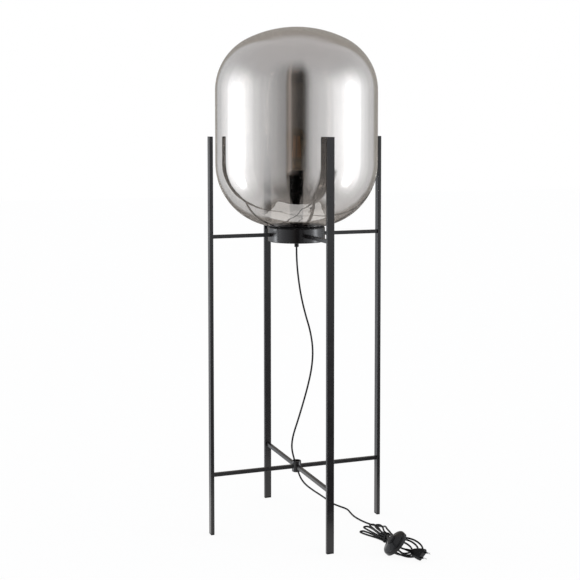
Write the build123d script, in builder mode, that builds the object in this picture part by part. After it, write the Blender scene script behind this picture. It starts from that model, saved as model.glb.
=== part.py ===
"""Floor lamp: a tall smoked glass globe held between four slim steel legs.

Millimetres, +Z up.  The origin is on the floor at the middle of the four feet.
The legs stand on the axes: front is -Y, right +X, back +Y, left -X.
"""

from build123d import *
from math import atan2, cos, degrees, pi, radians, sin, sqrt, tan
import os

# ---------------------------------------------------------------- driving dimensions

TOTAL_HEIGHT = 1400.0

# legs: flat steel tube, its wide side facing outwards
LEG_CENTRE_RADIUS = 250.0
LEG_WIDTH = 20.0
LEG_DEPTH = 10.0
LEG_WALL = 1.5
LEG_TOP = 1098.0
FOOT_HEIGHT = 4.0
TOP_CAP_HEIGHT = 1.6
TONGUE_GAP = 0.1
TONGUE_LENGTH = 16.0

# bars: square steel tube from the legs to the drum, and from the legs to the hub
BAR_SIDE = 10.0
BAR_BORE = 7.6
UPPER_BAR_Z = 825.0
LOWER_BAR_Z = 166.0
BAR_PLUG_LENGTH = 12.0

# threaded inserts in the legs, and the studs and screws that hold the bars
THREAD_RADIUS = 2.5
THREAD_GAP = 0.05
INSERT_RADIUS = 3.5
INSERT_DEPTH = 6.0
INSERT_FLANGE_RADIUS, INSERT_FLANGE = 4.7, 0.8
SCREW_HEAD_RADIUS, SCREW_HEAD = 4.5, 3.0

# hub where the lower bars meet; the cord runs down through it
HUB_RADIUS, HUB_BORE = 13.0, 10.0
HUB_LOW, HUB_HIGH = 151.0, 182.0

# drum that carries the globe, open at the top within an inward lip
DRUM_RADIUS, DRUM_WALL = 80.0, 1.5
DRUM_LOW, DRUM_HIGH = 805.0, 845.5
DRUM_CORNER = 3.0
LIP_RADIUS = 70.5
GASKET_INNER, GASKET_OUTER = 72.0, 77.0

# globe
GLOBE_RADIUS, GLASS = 226.0, 2.5
CROWN_RADIUS, TOP_SHOULDER_RADIUS = 307.0, 160.0
BASE_RADIUS, LOW_SHOULDER_RADIUS = 342.0, 178.0
GLOBE_WALL_LOW = 1024.0
NECK_RADIUS, NECK_LOW, NECK_BEND = 64.0, 822.0, 5.0
GLASS_CLEARANCE = 0.3

# riser tube on the drum, and the lampholder in its top
RISER_RADIUS, RISER_WALL, RISER_TOP = 19.0, 1.2, 1000.0
RISER_FLANGE_RADIUS, RISER_FLANGE, RISER_SPIGOT = 25.0, 4.0, 7.5
NIPPLE_RADIUS, NIPPLE_BORE, NIPPLE_TOP = 5.0, 3.5, 953.0
NUT_FLAT_RADIUS, NUT_HEIGHT = 8.5, 5.0
HOLDER_LOW, HOLDER_TOP = 946.0, 1003.0
HOLDER_RADIUS = 17.7
HOLDER_CAVITY, HOLDER_CAVITY_LOW = 14.6, 972.0
HOLDER_FLOOR = 6.0
SHELL_INNER, SHELL_OUTER = 13.8, 14.3

# bulb with a 27 mm screw cap and a tall pear-shaped envelope
BULB_TOP, BULB_RADIUS, BULB_GLASS = 1122.0, 32.0, 0.8
BULB_NECK_RADIUS, BULB_NECK_TOP = 12.8, 1014.0
CAP_RIDGE, CAP_ROOT, CAP_PITCH = 13.2, 12.4, 3.629
CAP_LOW, CAP_THREAD_TOP, CAP_TOP = 982.0, 1000.0, 1003.4
CAP_TURNS = 5
BODY_GAP = 0.3

# cord
CORD_RADIUS = 2.5
GRIP_RADIUS, GRIP_LOW = 6.0, 788.5

# foot switch leaning on the cord's hank
SWITCH_RADIUS, SWITCH_WALL = 36.5, 2.0
SWITCH_RIM_HEIGHT, SWITCH_HEIGHT = 7.0, 19.0
SWITCH_CENTRE = Vector(162.3, -315.6, 26.5)
SWITCH_AXIS = Vector(-0.698, 0.147, 0.701).normalized()
SWITCH_INLINE = Vector(SWITCH_AXIS.Y, -SWITCH_AXIS.X, 0).normalized()
SWITCH_UP = SWITCH_INLINE.cross(SWITCH_AXIS).normalized()
BUTTON_RADIUS, BUTTON_TOP, BUTTON_TRAVEL = 13.0, 24.0, 3.0
RELIEF_LENGTH, RELIEF_HEIGHT, RELIEF_OFFSET = 14.0, 8.0, 6.0

# two-pin plug lying on its edge at the far end
PLUG_FACE = Vector(207.0, -381.0, 15.4)
PLUG_AXIS = Vector(0.437, -0.899, 0).normalized()
PLUG_TILT = radians(30)
PLUG_ACROSS = Vector(PLUG_AXIS.Y * cos(PLUG_TILT), -PLUG_AXIS.X * cos(PLUG_TILT), -sin(PLUG_TILT))
PLUG_BODY, PLUG_RELIEF = 37.0, 18.0
PIN_RADIUS, PIN_LENGTH, PIN_SPACING, PIN_SLEEVE = 2.0, 19.0, 19.0, 10.0

# waist of the hank: the bundle runs along WAIST_ALONG, a strand and a bit between centres
WAIST = Vector(175.0, -226.0, 0)
WAIST_ALONG = Vector(cos(radians(-79)), sin(radians(-79)), 0)
WAIST_ACROSS = Vector(-WAIST_ALONG.Y, WAIST_ALONG.X, 0)
STRAND_STEP, STRAND_LOW = 5.8, 4.3
HANK_LOOPS = 4

SIDES = {"front": -90.0, "right": 0.0, "back": 90.0, "left": 180.0}

# ---------------------------------------------------------------- worked out from those

LEG_INNER_FACE = LEG_CENTRE_RADIUS - LEG_DEPTH / 2
BAR_OUTER_END = LEG_INNER_FACE - INSERT_FLANGE
DRUM_INNER = DRUM_RADIUS - DRUM_WALL
DRUM_FLOOR = DRUM_LOW + DRUM_WALL
RISER_LOW = DRUM_FLOOR + RISER_FLANGE

CROWN_CENTRE = (0.0, TOTAL_HEIGHT - CROWN_RADIUS)
SHOULDER_OFFSET = GLOBE_RADIUS - TOP_SHOULDER_RADIUS
SHOULDER_DROP = sqrt((CROWN_RADIUS - TOP_SHOULDER_RADIUS) ** 2 - SHOULDER_OFFSET ** 2)
TOP_SHOULDER = (SHOULDER_OFFSET, CROWN_CENTRE[1] + SHOULDER_DROP)
LOW_SHOULDER = (GLOBE_RADIUS - LOW_SHOULDER_RADIUS, GLOBE_WALL_LOW)
BASE_RISE = sqrt((BASE_RADIUS - LOW_SHOULDER_RADIUS) ** 2 - LOW_SHOULDER[0] ** 2)
BASE_CENTRE = (0.0, GLOBE_WALL_LOW + BASE_RISE)
BEND_OFFSET = NECK_RADIUS + NECK_BEND
BEND_CENTRE = (BEND_OFFSET, BASE_CENTRE[1] - sqrt((BASE_RADIUS + NECK_BEND) ** 2 - BEND_OFFSET ** 2))

SWITCH_EXIT = SWITCH_CENTRE + SWITCH_INLINE * (SWITCH_RADIUS + RELIEF_LENGTH) + SWITCH_AXIS * RELIEF_HEIGHT
LAMP_EXIT = SWITCH_EXIT + SWITCH_UP * RELIEF_OFFSET
HANK_EXIT = SWITCH_EXIT - SWITCH_UP * RELIEF_OFFSET
PLUG_BACK = PLUG_FACE - PLUG_AXIS * (PLUG_BODY + PLUG_RELIEF)

os.makedirs("parts", exist_ok=True)


# ---------------------------------------------------------------- helpers

def save(piece, node):
    """Label a finished sub-part and write it under its own name."""
    piece.part.label = node
    export_step(piece.part, f"parts/{node}.step")


def side_plane(angle, height):
    """Horizontal plane whose x points outwards along the side at this angle."""
    outward = (cos(radians(angle)), sin(radians(angle)), 0)
    return Plane(origin=(0, 0, height), x_dir=outward, z_dir=(0, 0, 1))


def across_plane(angle, radius, height):
    """Upright plane across the side at this angle, facing outwards."""
    outward = Vector(cos(radians(angle)), sin(radians(angle)), 0)
    sideways = Vector(-sin(radians(angle)), cos(radians(angle)), 0)
    return Plane(origin=outward * radius + Vector(0, 0, height), x_dir=sideways, z_dir=outward)


def turned(points, plane=Plane.XZ, axis=Axis.Z):
    """Ring or disc turned about an axis from straight-sided (radius, height) points."""
    with BuildPart() as piece:
        with BuildSketch(plane):
            with BuildLine():
                Polyline(*points, close=True)
            make_face()
        revolve(axis=axis)
    return piece


def ring_points(inner, outer, low, high):
    return [(inner, low), (outer, low), (outer, high), (inner, high)]


def on_circle(centre, radius, toward):
    """Point of a circle in the direction of another point."""
    across, up = toward[0] - centre[0], toward[1] - centre[1]
    reach = sqrt(across * across + up * up)
    return (centre[0] + radius * across / reach, centre[1] + radius * up / reach)


def arc_about(centre, start, end):
    """Short arc about a centre, from one point of its circle to another."""
    radius = sqrt((start[0] - centre[0]) ** 2 + (start[1] - centre[1]) ** 2)
    middle = ((start[0] + end[0]) / 2, (start[1] + end[1]) / 2)
    return ThreePointArc(start, on_circle(centre, radius, middle), end)


def globe_base_height(radius):
    """Height of the outside of the globe's shallow base at a distance from its axis."""
    return BASE_CENTRE[1] - sqrt(BASE_RADIUS ** 2 - radius ** 2)


# ---------------------------------------------------------------- legs, feet and caps

def make_leg(side, angle):
    with BuildPart() as leg:
        with BuildSketch(side_plane(angle, FOOT_HEIGHT)):
            with Locations((LEG_CENTRE_RADIUS, 0)):
                RectangleRounded(LEG_DEPTH, LEG_WIDTH, 1.0)
                Rectangle(LEG_DEPTH - 2 * LEG_WALL, LEG_WIDTH - 2 * LEG_WALL, mode=Mode.SUBTRACT)
        extrude(amount=LEG_TOP - TOP_CAP_HEIGHT - FOOT_HEIGHT)
        for height in (UPPER_BAR_Z, LOWER_BAR_Z):
            with BuildSketch(across_plane(angle, LEG_INNER_FACE - 1, height)):
                Circle(INSERT_RADIUS + THREAD_GAP)
            extrude(amount=LEG_WALL + 2, mode=Mode.SUBTRACT)
    save(leg, f"leg_{side}")


def make_leg_end(node, angle, pad_low, pad_height, tongue_low, soft_edge):
    """A moulded end plug: a pad as wide as the leg and a tongue inside the tube."""
    tongue_less = 2 * (LEG_WALL + TONGUE_GAP)
    outward = Axis.Z if pad_low > LEG_TOP / 2 else -Axis.Z
    with BuildPart() as plug:
        with BuildSketch(side_plane(angle, pad_low)):
            with Locations((LEG_CENTRE_RADIUS, 0)):
                RectangleRounded(LEG_DEPTH, LEG_WIDTH, 1.5)
        extrude(amount=pad_height)
        fillet(plug.faces().sort_by(outward)[-1].edges(), soft_edge)
        with BuildSketch(side_plane(angle, tongue_low)):
            with Locations((LEG_CENTRE_RADIUS, 0)):
                Rectangle(LEG_DEPTH - tongue_less, LEG_WIDTH - tongue_less)
        extrude(amount=TONGUE_LENGTH)
    save(plug, node)


for side, side_angle in SIDES.items():
    cap_low = LEG_TOP - TOP_CAP_HEIGHT
    make_leg(side, side_angle)
    make_leg_end(f"foot_{side}", side_angle, 0, FOOT_HEIGHT, FOOT_HEIGHT, 1.0)
    make_leg_end(f"top_cap_{side}", side_angle, cap_low, TOP_CAP_HEIGHT, cap_low - TONGUE_LENGTH, 0.6)


# ---------------------------------------------------------------- bars and hub

def make_bar(node, angle, height, seat_radius):
    """Square tube whose inner end is saddled to the round wall that it meets."""
    with BuildPart() as bar:
        with BuildSketch(across_plane(angle, seat_radius - 1.5, height)):
            RectangleRounded(BAR_SIDE, BAR_SIDE, 0.8)
            Rectangle(BAR_BORE, BAR_BORE, mode=Mode.SUBTRACT)
        extrude(amount=BAR_OUTER_END - seat_radius + 1.5)
        with BuildSketch(Plane.XY.offset(height - BAR_SIDE)):
            Circle(seat_radius)
        extrude(amount=2 * BAR_SIDE, mode=Mode.SUBTRACT)
    save(bar, node)


for side, side_angle in SIDES.items():
    make_bar(f"upper_bar_{side}", side_angle, UPPER_BAR_Z, DRUM_RADIUS)
    make_bar(f"lower_bar_{side}", side_angle, LOWER_BAR_Z, HUB_RADIUS)

with BuildPart() as bar_plugs:
    for seat, height in ((DRUM_RADIUS, UPPER_BAR_Z), (HUB_RADIUS, LOWER_BAR_Z)):
        for side_angle in SIDES.values():
            for start in (seat - 1.5, BAR_OUTER_END - BAR_PLUG_LENGTH):
                with BuildSketch(across_plane(side_angle, start, height)):
                    Rectangle(BAR_BORE, BAR_BORE)
                    Circle(THREAD_RADIUS + THREAD_GAP, mode=Mode.SUBTRACT)
                extrude(amount=BAR_PLUG_LENGTH)
        with BuildSketch(Plane.XY.offset(height - BAR_SIDE)):
            Circle(seat)
        extrude(amount=2 * BAR_SIDE, mode=Mode.SUBTRACT)
save(bar_plugs, "bar_plugs")

with BuildPart() as centre_hub:
    with BuildSketch(Plane.XY.offset(HUB_LOW)):
        Circle(HUB_RADIUS)
        Circle(HUB_BORE, mode=Mode.SUBTRACT)
    extrude(amount=HUB_HIGH - HUB_LOW)
    rims = centre_hub.faces().filter_by(Axis.Z).edges().filter_by(GeomType.CIRCLE)
    chamfer([rim for rim in rims if rim.radius > HUB_BORE + 1], 0.8)
    for side_angle in SIDES.values():
        with BuildSketch(across_plane(side_angle, HUB_BORE - 1.5, LOWER_BAR_Z)):
            Circle(THREAD_RADIUS + THREAD_GAP)
        extrude(amount=HUB_RADIUS - HUB_BORE + 3, mode=Mode.SUBTRACT)
save(centre_hub, "centre_hub")


# ---------------------------------------------------------------- what holds the bars

def radial_rods(rods):
    """Round rods pointing outwards on all four sides, from (radius, start, end, height)."""
    with BuildPart() as group:
        for rod_radius, start, end, height in rods:
            for side_angle in SIDES.values():
                with BuildSketch(across_plane(side_angle, start, height)):
                    Circle(rod_radius)
                extrude(amount=end - start)
    return group


with BuildPart() as leg_inserts:
    for height in (UPPER_BAR_Z, LOWER_BAR_Z):
        for side_angle in SIDES.values():
            with BuildSketch(across_plane(side_angle, BAR_OUTER_END, height)):
                Circle(INSERT_FLANGE_RADIUS)
            extrude(amount=INSERT_FLANGE)
            with BuildSketch(across_plane(side_angle, LEG_INNER_FACE, height)):
                Circle(INSERT_RADIUS)
            extrude(amount=INSERT_DEPTH)
            with BuildSketch(across_plane(side_angle, BAR_OUTER_END - 1, height)):
                Circle(THREAD_RADIUS + THREAD_GAP)
            extrude(amount=INSERT_DEPTH + INSERT_FLANGE + 2, mode=Mode.SUBTRACT)
save(leg_inserts, "leg_inserts")

STUD_START = BAR_OUTER_END - BAR_PLUG_LENGTH + 2
STUD_END = LEG_INNER_FACE + INSERT_DEPTH - 1
leg_studs = radial_rods([(THREAD_RADIUS, STUD_START, STUD_END, UPPER_BAR_Z),
                         (THREAD_RADIUS, STUD_START, STUD_END, LOWER_BAR_Z)])
save(leg_studs, "leg_studs")

hub_studs = radial_rods([(THREAD_RADIUS, HUB_BORE + 0.4, HUB_RADIUS + BAR_PLUG_LENGTH - 3, LOWER_BAR_Z)])
save(hub_studs, "hub_studs")

# a screw's head bears on the ends of its chord inside the round wall
HEAD_START = sqrt(DRUM_INNER ** 2 - SCREW_HEAD_RADIUS ** 2) - SCREW_HEAD
drum_screws = radial_rods([(SCREW_HEAD_RADIUS, HEAD_START, HEAD_START + SCREW_HEAD, UPPER_BAR_Z),
                           (THREAD_RADIUS, HEAD_START + 1, DRUM_RADIUS + BAR_PLUG_LENGTH - 3, UPPER_BAR_Z)])
save(drum_screws, "drum_screws")


# ---------------------------------------------------------------- drum and gasket

with BuildPart() as drum:
    with BuildSketch(Plane.XZ):
        with BuildLine():
            inner_corner = DRUM_CORNER - DRUM_WALL
            FilletPolyline((NIPPLE_RADIUS + THREAD_GAP, DRUM_LOW), (DRUM_RADIUS, DRUM_LOW),
                           (DRUM_RADIUS, DRUM_HIGH), (LIP_RADIUS, DRUM_HIGH), radius=DRUM_CORNER)
            Line((LIP_RADIUS, DRUM_HIGH), (LIP_RADIUS, DRUM_HIGH - DRUM_WALL))
            FilletPolyline((LIP_RADIUS, DRUM_HIGH - DRUM_WALL), (DRUM_INNER, DRUM_HIGH - DRUM_WALL),
                           (DRUM_INNER, DRUM_FLOOR), (NIPPLE_RADIUS + THREAD_GAP, DRUM_FLOOR),
                           radius=inner_corner)
            Line((NIPPLE_RADIUS + THREAD_GAP, DRUM_FLOOR), (NIPPLE_RADIUS + THREAD_GAP, DRUM_LOW))
        make_face()
    revolve(axis=Axis.Z)
    for side_angle in SIDES.values():
        with BuildSketch(across_plane(side_angle, DRUM_INNER - 2, UPPER_BAR_Z)):
            Circle(THREAD_RADIUS + THREAD_GAP)
        extrude(amount=DRUM_WALL + 4, mode=Mode.SUBTRACT)
save(drum, "drum")

glass_gasket = turned([
    (GASKET_INNER, DRUM_HIGH),
    (GASKET_OUTER, DRUM_HIGH),
    (GASKET_OUTER, globe_base_height(GASKET_OUTER) - GLASS_CLEARANCE),
    (GASKET_INNER, globe_base_height(GASKET_INNER) - GLASS_CLEARANCE),
])
save(glass_gasket, "glass_gasket")


# ---------------------------------------------------------------- globe

def globe_side(inset):
    """One face of the glass from its neck to the top, set in from the outside."""
    neck, wall = NECK_RADIUS - inset, GLOBE_RADIUS - inset
    bend_start = (neck, BEND_CENTRE[1])
    base_start = on_circle(BASE_CENTRE, BASE_RADIUS - inset, BEND_CENTRE)
    base_end = on_circle(BASE_CENTRE, BASE_RADIUS - inset, (
        2 * LOW_SHOULDER[0] - BASE_CENTRE[0], 2 * LOW_SHOULDER[1] - BASE_CENTRE[1]))
    crown_start = on_circle(CROWN_CENTRE, CROWN_RADIUS - inset, TOP_SHOULDER)
    Line((neck, NECK_LOW), bend_start)
    arc_about(BEND_CENTRE, bend_start, base_start)
    arc_about(BASE_CENTRE, base_start, base_end)
    arc_about(LOW_SHOULDER, base_end, (wall, LOW_SHOULDER[1]))
    Line((wall, LOW_SHOULDER[1]), (wall, TOP_SHOULDER[1]))
    arc_about(TOP_SHOULDER, (wall, TOP_SHOULDER[1]), crown_start)
    arc_about(CROWN_CENTRE, crown_start, (0, TOTAL_HEIGHT - inset))


with BuildPart() as glass_globe:
    with BuildSketch(Plane.XZ):
        with BuildLine():
            globe_side(0)
            globe_side(GLASS)
            Line((0, TOTAL_HEIGHT - GLASS), (0, TOTAL_HEIGHT))
            ThreePointArc((NECK_RADIUS, NECK_LOW), (NECK_RADIUS - GLASS / 2, NECK_LOW - GLASS / 2),
                          (NECK_RADIUS - GLASS, NECK_LOW))
        make_face()
    revolve(axis=Axis.Z)
save(glass_globe, "glass_globe")


# ---------------------------------------------------------------- riser, nipple and cord grip

with BuildPart() as cord_grip:
    with BuildSketch(Plane.XY.offset(GRIP_LOW)):
        Circle(GRIP_RADIUS)
        Circle(CORD_RADIUS + 0.2, mode=Mode.SUBTRACT)
    extrude(amount=8)
    with BuildSketch(Plane.XY.offset(GRIP_LOW + 8)):
        Circle(GRIP_RADIUS)
        Circle(NIPPLE_RADIUS + THREAD_GAP, mode=Mode.SUBTRACT)
    extrude(amount=DRUM_LOW - GRIP_LOW - 8)
    fillet(cord_grip.edges().filter_by(GeomType.CIRCLE).group_by(Axis.Z)[0].sort_by(SortBy.RADIUS)[-1], 1.0)
    with BuildSketch(across_plane(0, 1, GRIP_LOW + 4.5)):
        Circle(1.5 + THREAD_GAP)
    extrude(amount=GRIP_RADIUS, mode=Mode.SUBTRACT)
save(cord_grip, "cord_grip")

with BuildPart() as cord_grip_screw:
    with BuildSketch(across_plane(0, CORD_RADIUS + 0.05, GRIP_LOW + 4.5)):
        Circle(1.5)
    extrude(amount=GRIP_RADIUS - CORD_RADIUS + 0.6)
save(cord_grip_screw, "cord_grip_screw")

threaded_nipple = turned(ring_points(NIPPLE_BORE, NIPPLE_RADIUS, GRIP_LOW + 8, NIPPLE_TOP))
save(threaded_nipple, "threaded_nipple")

with BuildPart() as nipple_nuts:
    for nut_low in (RISER_LOW + RISER_SPIGOT, HOLDER_LOW - NUT_HEIGHT):
        with BuildSketch(Plane.XY.offset(nut_low)):
            RegularPolygon(NUT_FLAT_RADIUS, 6, major_radius=False)
            Circle(NIPPLE_RADIUS + THREAD_GAP, mode=Mode.SUBTRACT)
        extrude(amount=NUT_HEIGHT)
save(nipple_nuts, "nipple_nuts")

riser_base = turned([
    (NIPPLE_RADIUS + THREAD_GAP, DRUM_FLOOR),
    (RISER_FLANGE_RADIUS, DRUM_FLOOR),
    (RISER_FLANGE_RADIUS, RISER_LOW - 1),
    (RISER_FLANGE_RADIUS - 1, RISER_LOW),
    (RISER_RADIUS - RISER_WALL - THREAD_GAP, RISER_LOW),
    (RISER_RADIUS - RISER_WALL - THREAD_GAP, RISER_LOW + RISER_SPIGOT),
    (NIPPLE_RADIUS + THREAD_GAP, RISER_LOW + RISER_SPIGOT),
])
save(riser_base, "riser_base")

riser_tube = turned(ring_points(RISER_RADIUS - RISER_WALL, RISER_RADIUS, RISER_LOW, RISER_TOP))
save(riser_tube, "riser_tube")


# ---------------------------------------------------------------- lampholder

HOLDER_SPLIT = HOLDER_LOW + 8
LOWER_CAVITY = HOLDER_RADIUS - 2.5
FLOOR_LOW = HOLDER_CAVITY_LOW - HOLDER_FLOOR

holder_cap = turned([
    (NIPPLE_RADIUS + THREAD_GAP, HOLDER_LOW),
    (HOLDER_RADIUS, HOLDER_LOW),
    (HOLDER_RADIUS, HOLDER_SPLIT),
    (LOWER_CAVITY, HOLDER_SPLIT),
    (LOWER_CAVITY, HOLDER_LOW + 4),
    (NIPPLE_RADIUS + THREAD_GAP, HOLDER_LOW + 4),
])
save(holder_cap, "holder_cap")

TERMINAL_REACH = 9.0
TERMINAL_RADIUS = 1.5
with BuildPart() as holder_body:
    with BuildSketch(Plane.XZ):
        with BuildLine():
            Polyline((LOWER_CAVITY, HOLDER_SPLIT), (HOLDER_RADIUS, HOLDER_SPLIT),
                     (HOLDER_RADIUS, RISER_TOP), (RISER_RADIUS, RISER_TOP),
                     (RISER_RADIUS, HOLDER_TOP - 0.8), (RISER_RADIUS - 0.8, HOLDER_TOP),
                     (HOLDER_CAVITY, HOLDER_TOP), (HOLDER_CAVITY, HOLDER_CAVITY_LOW),
                     (3, HOLDER_CAVITY_LOW), (3, FLOOR_LOW), (LOWER_CAVITY, FLOOR_LOW), close=True)
        make_face()
    revolve(axis=Axis.Z)
    with BuildSketch(Plane.XY.offset(FLOOR_LOW - 1)):
        with Locations((TERMINAL_REACH, 0), (-TERMINAL_REACH, 0)):
            Circle(TERMINAL_RADIUS + THREAD_GAP)
    extrude(amount=HOLDER_FLOOR - 1, mode=Mode.SUBTRACT)
save(holder_body, "holder_body")

holder_shell = turned(ring_points(SHELL_INNER, SHELL_OUTER, HOLDER_CAVITY_LOW, CAP_THREAD_TOP - 2))
save(holder_shell, "holder_shell")

CONTACT_TOP = 976.6
with BuildPart() as holder_contact:
    with BuildSketch(Plane.XZ.offset(-2)):
        with BuildLine():
            Polyline((-9, HOLDER_CAVITY_LOW), (-3, HOLDER_CAVITY_LOW), (1.5, CONTACT_TOP - 0.5),
                     (5, CONTACT_TOP - 0.5), (5, CONTACT_TOP), (1, CONTACT_TOP),
                     (-3.5, HOLDER_CAVITY_LOW + 0.5), (-9, HOLDER_CAVITY_LOW + 0.5), close=True)
        make_face()
    extrude(amount=4)
save(holder_contact, "holder_contact")

with BuildPart() as terminal_screws:
    with BuildSketch(Plane.XY.offset(FLOOR_LOW - 5)):
        with Locations((TERMINAL_REACH, 0), (-TERMINAL_REACH, 0)):
            Circle(TERMINAL_RADIUS)
    extrude(amount=8)
    with BuildSketch(Plane.XY.offset(FLOOR_LOW - 5)):
        with Locations((TERMINAL_REACH, 0), (-TERMINAL_REACH, 0)):
            Circle(2.75)
    extrude(amount=1.8)
save(terminal_screws, "terminal_screws")

LEAD_TOP = NIPPLE_TOP + 1
with BuildPart() as inner_lead:
    with BuildSketch(Plane.XY.offset(GRIP_LOW)):
        Circle(CORD_RADIUS)
    extrude(amount=LEAD_TOP - GRIP_LOW)
save(inner_lead, "inner_lead")

with BuildPart() as core_wires:
    for hand in (1, -1):
        with BuildLine():
            reach = hand * TERMINAL_REACH
            FilletPolyline((hand * 1.2, 0, LEAD_TOP), (hand * 1.2, 0, LEAD_TOP + 2.2),
                           (reach, 0, LEAD_TOP + 4.6), (reach, 0, FLOOR_LOW - 5), radius=0.9)
        with BuildSketch(Plane.XY.offset(LEAD_TOP)):
            with Locations((hand * 1.2, 0)):
                Circle(0.7)
        sweep()
save(core_wires, "core_wires")


# ---------------------------------------------------------------- bulb

with BuildPart() as bulb_cap:
    with BuildSketch(Plane.XZ):
        with BuildLine():
            FilletPolyline((4.5, CAP_LOW - 1.6), (8.5, CAP_LOW - 1.6), (CAP_ROOT, CAP_LOW), radius=0.8)
            for turn in range(CAP_TURNS):
                foot = CAP_LOW + turn * CAP_PITCH
                ThreePointArc((CAP_ROOT, foot), (CAP_RIDGE, foot + CAP_PITCH / 2), (CAP_ROOT, foot + CAP_PITCH))
            Polyline((CAP_ROOT, CAP_LOW + CAP_TURNS * CAP_PITCH), (CAP_ROOT, CAP_TOP),
                     (4.5, CAP_TOP), (4.5, CAP_LOW - 1.6))
        make_face()
    revolve(axis=Axis.Z)
save(bulb_cap, "bulb_cap")

bulb_insulator = turned([(3, CAP_LOW - 3.4), (6.5, CAP_LOW - 3.4), (8.2, CAP_LOW - 1.6), (3, CAP_LOW - 1.6)])
save(bulb_insulator, "bulb_insulator")

bulb_contact = turned([(0, CAP_LOW - 5), (2.2, CAP_LOW - 5), (4, CAP_LOW - 4.2), (4, CAP_LOW - 3.4),
                       (3, CAP_LOW - 3.4), (3, CAP_LOW - 1.6), (0, CAP_LOW - 1.6)])
save(bulb_contact, "bulb_contact")

BULB_NECK_LOW = CAP_TOP + BODY_GAP
BULB_WIDEST = BULB_TOP - BULB_RADIUS


def bulb_side(inset):
    """One face of the envelope: straight neck, swelling side and round top."""
    neck, widest = BULB_NECK_RADIUS - inset, BULB_RADIUS - inset
    swell = ((neck + widest) / 2, (BULB_NECK_TOP + BULB_WIDEST) / 2)
    Line((neck, BULB_NECK_LOW), (neck, BULB_NECK_TOP))
    flare = TangentArc((neck, BULB_NECK_TOP), swell, tangent=(0, 1))
    TangentArc(swell, (widest, BULB_WIDEST), tangent=flare % 1)
    arc_about((0, BULB_WIDEST), (widest, BULB_WIDEST), (0, BULB_TOP - inset))


with BuildPart() as bulb_envelope:
    with BuildSketch(Plane.XZ):
        with BuildLine():
            bulb_side(0)
            bulb_side(BULB_GLASS)
            Line((BULB_NECK_RADIUS, BULB_NECK_LOW), (BULB_NECK_RADIUS - BULB_GLASS, BULB_NECK_LOW))
            Line((0, BULB_TOP - BULB_GLASS), (0, BULB_TOP))
        make_face()
    revolve(axis=Axis.Z)
save(bulb_envelope, "bulb_envelope")

STEM_TOP = 1048.0
FILAMENT_LOW, FILAMENT_HIGH = 1040.0, 1098.0
FILAMENT_REACH_LOW, FILAMENT_REACH_HIGH = 12.0, 8.0
FILAMENT_RADIUS = 0.9
FILAMENTS = 4

bulb_stem = turned([(0, BULB_NECK_LOW), (BULB_NECK_RADIUS - BULB_GLASS, BULB_NECK_LOW),
                    (BULB_NECK_RADIUS - BULB_GLASS, BULB_NECK_LOW + 1.2), (6, BULB_NECK_LOW + 7),
                    (3, BULB_NECK_TOP + 14), (2, STEM_TOP), (0, STEM_TOP)])
save(bulb_stem, "bulb_stem")


def filament_end(index, high):
    """Low or high end of a filament, leaning inwards as it climbs."""
    angle = radians(45 + 360 * index / FILAMENTS)
    reach = FILAMENT_REACH_HIGH if high else FILAMENT_REACH_LOW
    height = FILAMENT_HIGH if high else FILAMENT_LOW
    return Vector(reach * cos(angle), reach * sin(angle), height)


def add_rod(start, end, radius):
    """Straight round rod from one point to another, in the part being built."""
    along = (end - start).normalized()
    with BuildSketch(Plane(origin=start, z_dir=along)) as section:
        Circle(radius)
    extrude(section.sketch, amount=(end - start).length)


with BuildPart() as bulb_filaments:
    for index in range(FILAMENTS):
        add_rod(filament_end(index, False), filament_end(index, True), FILAMENT_RADIUS)
save(bulb_filaments, "bulb_filaments")

with BuildPart() as bulb_supports:
    for index in range(FILAMENTS):
        add_rod(Vector(0, 0, STEM_TOP - 12), filament_end(index, False), 0.4)
    add_rod(Vector(0, 0, STEM_TOP), Vector(0, 0, FILAMENT_HIGH), 0.5)
    for index in range(FILAMENTS):
        add_rod(Vector(0, 0, FILAMENT_HIGH), filament_end(index, True), 0.4)
    # the filaments' own metal ends take the wires' place where they meet
    for index in range(FILAMENTS):
        start, end = filament_end(index, False), filament_end(index, True)
        along = (end - start).normalized()
        with BuildSketch(Plane(origin=start, z_dir=along)):
            Circle(FILAMENT_RADIUS)
        extrude(amount=(end - start).length, mode=Mode.SUBTRACT)
    with BuildSketch(Plane.XY.offset(STEM_TOP - 15)):
        Circle(2.8)
    extrude(amount=15, mode=Mode.SUBTRACT)
save(bulb_supports, "bulb_supports")


# ---------------------------------------------------------------- foot switch

SWITCH_SECTION = Plane(origin=SWITCH_CENTRE, x_dir=SWITCH_INLINE, z_dir=SWITCH_UP)
SWITCH_SPIN = Axis(SWITCH_CENTRE, SWITCH_AXIS)
BUTTON_HOLE = BUTTON_RADIUS + 0.4


def switch_plane(height):
    """Plane square to the switch's axis at a height above its base."""
    return Plane(origin=SWITCH_CENTRE + SWITCH_AXIS * height, x_dir=SWITCH_INLINE, z_dir=SWITCH_AXIS)


def relief_section(sign):
    """Plane and axis of one strain relief on the switch's rim."""
    middle = SWITCH_CENTRE + SWITCH_AXIS * RELIEF_HEIGHT + SWITCH_UP * (sign * RELIEF_OFFSET)
    return Plane(origin=middle, x_dir=SWITCH_INLINE, z_dir=SWITCH_UP), Axis(middle, SWITCH_INLINE)


def relief_profile(spare=0.0):
    """Half section of a relief, by distance along the cord and by radius."""
    start, end = SWITCH_RADIUS - 3.2, SWITCH_RADIUS + RELIEF_LENGTH
    return [(start, 0), (start, 4.2 + spare), (SWITCH_RADIUS + 2, 4.2 + spare), (end, 3.2 + spare), (end, 0)]


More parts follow.
